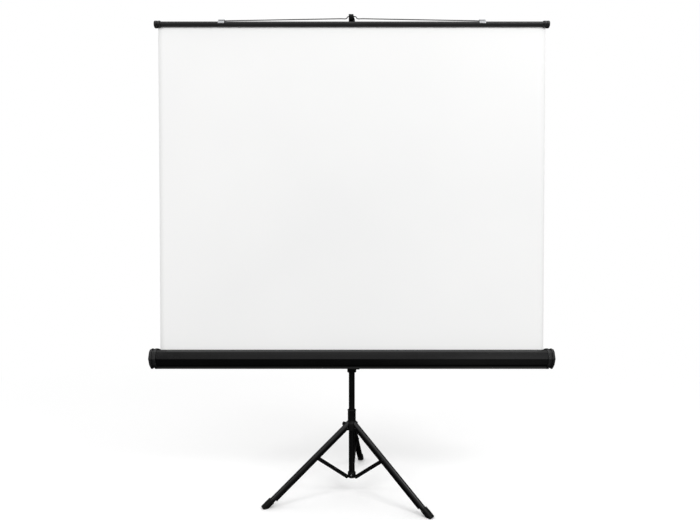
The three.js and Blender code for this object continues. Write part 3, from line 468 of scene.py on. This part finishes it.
# Fabric in mm: its width, the free length between case and bar, and how far it waves there
FABRIC_WIDTH = 1490
FABRIC_COLUMNS = 72
FABRIC_THICK = 0.45
FABRIC_SMOOTH = 60
FREE_ABOVE_CASE = 40
FREE_BELOW_BAR = 12
RIPPLE = 0.9
RIPPLE_ACROSS = (9.5, 0.7)
RIPPLE_UP = (2.2, 0.4)
BELLY = 1.1
CURL = 1.6
CURL_POWER = 10


def wave(share, turns_and_start):
    turns, start = turns_and_start
    return math.sin(turns * share + start)


def slack(across, free):
    """How far back the fabric lies in mm, by its shares of the width and of the free length."""
    ripple = RIPPLE * wave(across, RIPPLE_ACROSS) * wave(free, RIPPLE_UP)
    belly = BELLY * math.sin(math.pi * across)
    curl = CURL * abs(2 * across - 1) ** CURL_POWER
    return (ripple + (belly + curl)) * math.sin(math.pi * free)


def fabric():
    """The white sheet: wound on the roller, out of the case's slot and up into the bar."""
    path = fabric_path()
    low = CASE_MIDDLE.z + FREE_ABOVE_CASE * MM
    high = BAR_AXIS.z - FREE_BELOW_BAR * MM
    bm = bmesh.new()
    rows = []
    for y, z in path:
        height = CASE_MIDDLE.z + z * MM
        free = max(0.0, min(1.0, (height - low) / (high - low)))
        row = []
        for i in range(FABRIC_COLUMNS + 1):
            across = i / FABRIC_COLUMNS
            x = (across - 0.5) * FABRIC_WIDTH * MM
            row.append(bm.verts.new((x, CASE_MIDDLE.y + y * MM + slack(across, free) * MM, height)))
        rows.append(row)
    for a, b in zip(rows, rows[1:]):
        for i in range(FABRIC_COLUMNS):
            bm.faces.new((a[i], a[i + 1], b[i + 1], b[i]))
    obj = new_object("screen_sheet", bm, "white_screen", FABRIC_SMOOTH)
    obj.data.materials.append(MATERIALS["screen_back"])
    skin = obj.modifiers.new("thickness", "SOLIDIFY")
    skin.thickness = FABRIC_THICK * MM
    skin.offset = 0
    skin.material_offset = 1
    skin.material_offset_rim = 0
    bpy.context.view_layer.objects.active = obj
    with bpy.context.temp_override(object=obj, active_object=obj, selected_objects=[obj]):
        bpy.ops.object.modifier_apply(modifier=skin.name)
    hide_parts("screen_fabric")
    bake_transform(obj)


# Fasteners in mm: the radius and height of each head, and where it sits
RIVET = (4.2 * MM, 1.9 * MM)
RIVET_ASIDE = 36
RIVET_LEVEL = 13
CAP_SCREW = (3.6 * MM, 2.0 * MM)
CAP_SCREW_INSET = 5.5
CAP_SCREW_LEVEL = 14
BOSS_SCREW = (3.4 * MM, 1.8 * MM)
BOSS_SCREW_HEIGHT = 73
BOSS_SCREW_OUT = 15.85
BOSS_SCREW_AZIMUTH = -7
DRIVE = 0.6 * MM
BACKWARD = (0, 1, 0)
SIDES = (("left", -1), ("right", 1))
LEVELS = (("low", -1), ("high", 1))


def fasteners():
    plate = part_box("case_bracket")[1][1]
    for side, aside in SIDES:
        for level, up in LEVELS:
            centre = Vector((aside * RIVET_ASIDE * MM, plate, CASE_MIDDLE.z + up * RIVET_LEVEL * MM))
            head(f"bracket_rivet_{side}_{level}", centre, BACKWARD, RIVET, "dark_steel", "case")
    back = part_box("case_cap_right")[1][1]
    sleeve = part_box("case_cap_right")[0][0] + CAP_SCREW_INSET * MM
    for side, aside in SIDES:
        for level, up in LEVELS:
            centre = Vector((aside * sleeve, back, CASE_MIDDLE.z + up * CAP_SCREW_LEVEL * MM))
            head(f"cap_screw_{side}_{level}", centre, BACKWARD, CAP_SCREW, "dark_steel", "case", DRIVE)
    angle = math.radians(BOSS_SCREW_AZIMUTH)
    out = Vector((math.sin(angle), -math.cos(angle), 0))
    centre = Vector((0, MAST_Y, BOSS_SCREW_HEIGHT * MM)) + out * BOSS_SCREW_OUT * MM
    head("boss_screw", centre, out, BOSS_SCREW, "zinc_steel", "column", DRIVE)


# Floor in metres: half its size, and the distances between which it fades into the white backdrop
FLOOR_HALF = 30
FADE_START = 1.0
FADE_END = 3.2


def floor():
    bm = bmesh.new()
    bmesh.ops.create_grid(bm, x_segments=2, y_segments=2, size=FLOOR_HALF)
    mesh = bpy.data.meshes.new("floor")
    bm.to_mesh(mesh)
    bm.free()
    obj = bpy.data.objects.new("floor", mesh)
    scene.collection.objects.link(obj)
    s = Shader("floor", Roughness=0.9, Specular_IOR_Level=0.1)
    s.to("Base Color", s.ramp(s.noise(0.8, 2), (0.98, 0.98, 0.98), (0.99, 0.99, 0.99)))
    reach = s.nodes.new("ShaderNodeVectorMath")
    reach.operation = "LENGTH"
    s.links.new(s.place, reach.inputs[0])
    far = s.spread(reach.outputs["Value"], 0, 1, FADE_START, FADE_END)
    backdrop = s.nodes.new("ShaderNodeEmission")
    both = s.nodes.new("ShaderNodeMixShader")
    s.links.new(far, both.inputs["Fac"])
    s.links.new(s.surface.outputs["BSDF"], both.inputs[1])
    s.links.new(backdrop.outputs["Emission"], both.inputs[2])
    s.links.new(both.outputs["Shader"], s.nodes["Material Output"].inputs["Surface"])
    mesh.materials.append(s.material)
    obj.visible_glossy = False
    obj.visible_diffuse = False


# Levels of the studio by height, where 0 is straight down and 1 straight up: as the matt surfaces see it,
# and as the glossy ones mirror it before and behind the object
MATT_LEVELS = ((0.45, 0.62), (1.0, 1.0))
MATT_STRENGTH = 1.1
BEFORE_LEVELS = (
    (0.0, 0.014),
    (0.34, 0.01),
    (0.46, 0.08),
    (0.56, 0.15),
    (0.7, 0.165),
    (0.78, 0.175),
    (0.86, 0.3),
    (1.0, 0.7),
)
BEHIND_LEVELS = (
    (0.0, 0.014),
    (0.3, 0.01),
    (0.45, 0.08),
    (0.58, 0.08),
    (0.66, 0.06),
    (0.8, 0.06),
    (0.9, 0.3),
    (1.0, 0.7),
)
BEHIND_STRENGTH = 1.0

# Before the object the mirrored studio gets dimmer from the middle to the sides
MIDDLE_X = 0.4
MIDDLE_STRENGTH = 1.75
SIDE_X = 0.75
SIDE_STRENGTH = 0.7

# Depth at which the mirrored studio goes over from before to behind
BEFORE_Y = -0.1
BEHIND_Y = 0.4

# Mirror images of lamps, a wall and the lit floor: direction, half angle in degrees and level
GLOWS = (
    ((0.46, -0.47, 0.75), 13, 3.2),
    ((-0.72, -0.42, 0.55), 15, 1.6),
    ((0.58, -0.77, 0.27), 24, 0.28),
    ((0.42, -0.56, -0.71), 24, 0.07),
)


def sky(nodes, links, height, stops, strength=1.0):
    """A background whose level goes by height; gives its node."""
    ramp = nodes.new("ShaderNodeValToRGB")
    marks = ramp.color_ramp.elements
    for mark, (position, level) in zip(marks, (stops[0], stops[-1])):
        mark.position = position
        mark.color = (level, level, level, 1)
    for position, level in stops[1:-1]:
        marks.new(position).color = (level, level, level, 1)
    background = nodes.new("ShaderNodeBackground")
    background.inputs["Strength"].default_value = strength
    links.new(height, ramp.inputs["Fac"])
    links.new(ramp.outputs["Color"], background.inputs["Color"])
    return background


def glow(nodes, links, place, shader, direction, spread, level):
    """Adds to a shader the soft image of a lamp, seen in the direction given."""
    cosine = nodes.new("ShaderNodeVectorMath")
    cosine.operation = "DOT_PRODUCT"
    cosine.inputs[1].default_value = Vector(direction).normalized()
    links.new(place, cosine.inputs[0])
    fade = nodes.new("ShaderNodeMapRange")
    fade.interpolation_type = "SMOOTHSTEP"
    fade.inputs["From Min"].default_value = math.cos(math.radians(spread))
    fade.inputs["To Max"].default_value = level
    links.new(cosine.outputs["Value"], fade.inputs["Value"])
    lamp = nodes.new("ShaderNodeBackground")
    lamp.inputs["Color"].default_value = (1, 1, 1, 1)
    links.new(fade.outputs["Result"], lamp.inputs["Strength"])
    both = nodes.new("ShaderNodeAddShader")
    links.new(shader, both.inputs[0])
    links.new(lamp.outputs["Background"], both.inputs[1])
    return both.outputs["Shader"]


def mixed_shader(nodes, links, fac, one, two):
    node = nodes.new("ShaderNodeMixShader")
    links.new(fac, node.inputs["Fac"])
    links.new(one, node.inputs[1])
    links.new(two, node.inputs[2])
    return node.outputs["Shader"]


def world():
    """White to the camera, a bright room to matt surfaces, and a dim studio with lamps to glossy ones."""
    data = bpy.data.worlds.new("studio")
    scene.world = data
    data.use_nodes = True
    nodes = data.node_tree.nodes
    links = data.node_tree.links
    white = nodes["Background"]
    white.inputs["Color"].default_value = (1, 1, 1, 1)
    place = nodes.new("ShaderNodeTexCoord").outputs["Generated"]
    split = nodes.new("ShaderNodeSeparateXYZ")
    links.new(place, split.inputs["Vector"])
    half = nodes.new("ShaderNodeMapRange")
    half.inputs["From Min"].default_value = -1
    links.new(split.outputs["Z"], half.inputs["Value"])
    height = half.outputs["Result"]
    matt = sky(nodes, links, height, MATT_LEVELS, MATT_STRENGTH)
    before = sky(nodes, links, height, BEFORE_LEVELS)
    aside = nodes.new("ShaderNodeMath")
    aside.operation = "ABSOLUTE"
    links.new(split.outputs["X"], aside.inputs[0])
    dimmer = nodes.new("ShaderNodeMapRange")
    dimmer.inputs["From Min"].default_value = MIDDLE_X
    dimmer.inputs["From Max"].default_value = SIDE_X
    dimmer.inputs["To Min"].default_value = MIDDLE_STRENGTH
    dimmer.inputs["To Max"].default_value = SIDE_STRENGTH
    links.new(aside.outputs["Value"], dimmer.inputs["Value"])
    links.new(dimmer.outputs["Result"], before.inputs["Strength"])
    behind = sky(nodes, links, height, BEHIND_LEVELS, BEHIND_STRENGTH)
    depth = nodes.new("ShaderNodeMapRange")
    depth.inputs["From Min"].default_value = BEFORE_Y
    depth.inputs["From Max"].default_value = BEHIND_Y
    links.new(split.outputs["Y"], depth.inputs["Value"])
    gloss = mixed_shader(
        nodes, links, depth.outputs["Result"], before.outputs["Background"], behind.outputs["Background"],
    )
    for direction, spread, level in GLOWS:
        gloss = glow(nodes, links, place, gloss, direction, spread, level)
    path = nodes.new("ShaderNodeLightPath")
    seen = mixed_shader(nodes, links, path.outputs["Is Glossy Ray"], matt.outputs["Background"], gloss)
    seen = mixed_shader(nodes, links, path.outputs["Is Camera Ray"], seen, white.outputs["Background"])
    links.new(seen, nodes["World Output"].inputs["Surface"])


def softbox(name, place, aim, size, power):
    data = bpy.data.lights.new(name, "AREA")
    data.shape = "RECTANGLE"
    data.size, data.size_y = size
    data.energy = power
    obj = bpy.data.objects.new(name, data)
    obj.location = place
    obj.rotation_euler = (Vector(aim) - Vector(place)).to_track_quat("-Z", "Y").to_euler()
    obj.visible_glossy = False
    scene.collection.objects.link(obj)


camera()
world()
floor()
softbox("key", place=(2.1, -2.3, 3.2), aim=(0.3, 0, 0.9), size=(1.4, 0.8), power=34)
softbox("fill", place=(-2.5, -2.2, 3.1), aim=(-0.4, 0, 0.9), size=(0.8, 0.8), power=19)

for name in sorted(NODES):
    if name != "screen_fabric":
        finished(name)
fabric()
fasteners()
